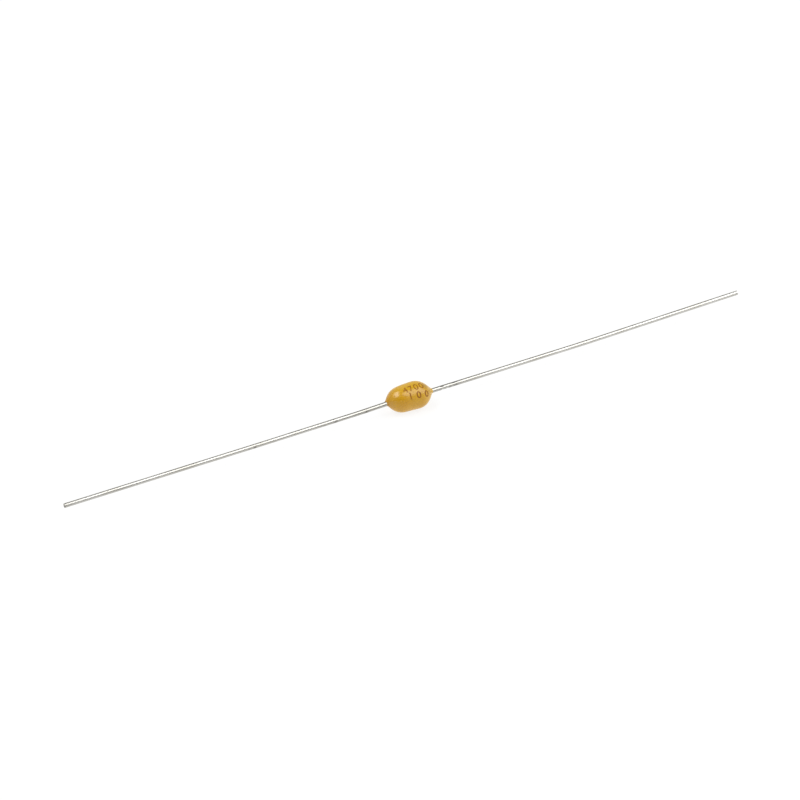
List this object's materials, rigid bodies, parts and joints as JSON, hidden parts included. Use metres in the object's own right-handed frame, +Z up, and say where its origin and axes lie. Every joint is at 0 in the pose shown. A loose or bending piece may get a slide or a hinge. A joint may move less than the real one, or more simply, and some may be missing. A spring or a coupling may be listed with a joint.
{
  "type": "axial multilayer ceramic capacitor",
  "caption": "Axial multilayer ceramic capacitor: a small amber epoxy-dipped body, sealed round a layered ceramic chip, on a straight tinned wire lead at each end.",
  "frame": {"origin": "centre of the ceramic chip, on the axis of the two wires, which is also the centre of the whole part", "axes": "+X along the wires towards the right lead's tip, +Z up from the surface that the body lies on, and the chip's electrodes flat in XY"},
  "size_m": [0.066, 0.0022, 0.0022],
  "materials": {
    "epoxy": "amber dipped epoxy, semi-gloss",
    "ceramic": "unglazed fired barium titanate, tan",
    "termination": "matt fired silver",
    "electrode": "fired nickel film",
    "solder": "satin tin solder",
    "tinned_wire": "bright tinned copper-clad steel wire",
    "ink": "matt brown marking ink"
  },
  "bodies": {
    "root": {"epoxy_coat": "epoxy", "ceramic_block": "ceramic", "left_termination": "termination", "right_termination": "termination", "left_solder_joint": "solder", "right_solder_joint": "solder", "left_lead": "tinned_wire", "right_lead": "tinned_wire", "left_electrode_1": "electrode", "left_electrode_2": "electrode", "left_electrode_3": "electrode", "left_electrode_4": "electrode", "left_electrode_5": "electrode", "left_electrode_6": "electrode", "right_electrode_1": "electrode", "right_electrode_2": "electrode", "right_electrode_3": "electrode", "right_electrode_4": "electrode", "right_electrode_5": "electrode", "right_electrode_6": "electrode"}
  },
  "joints": []
}
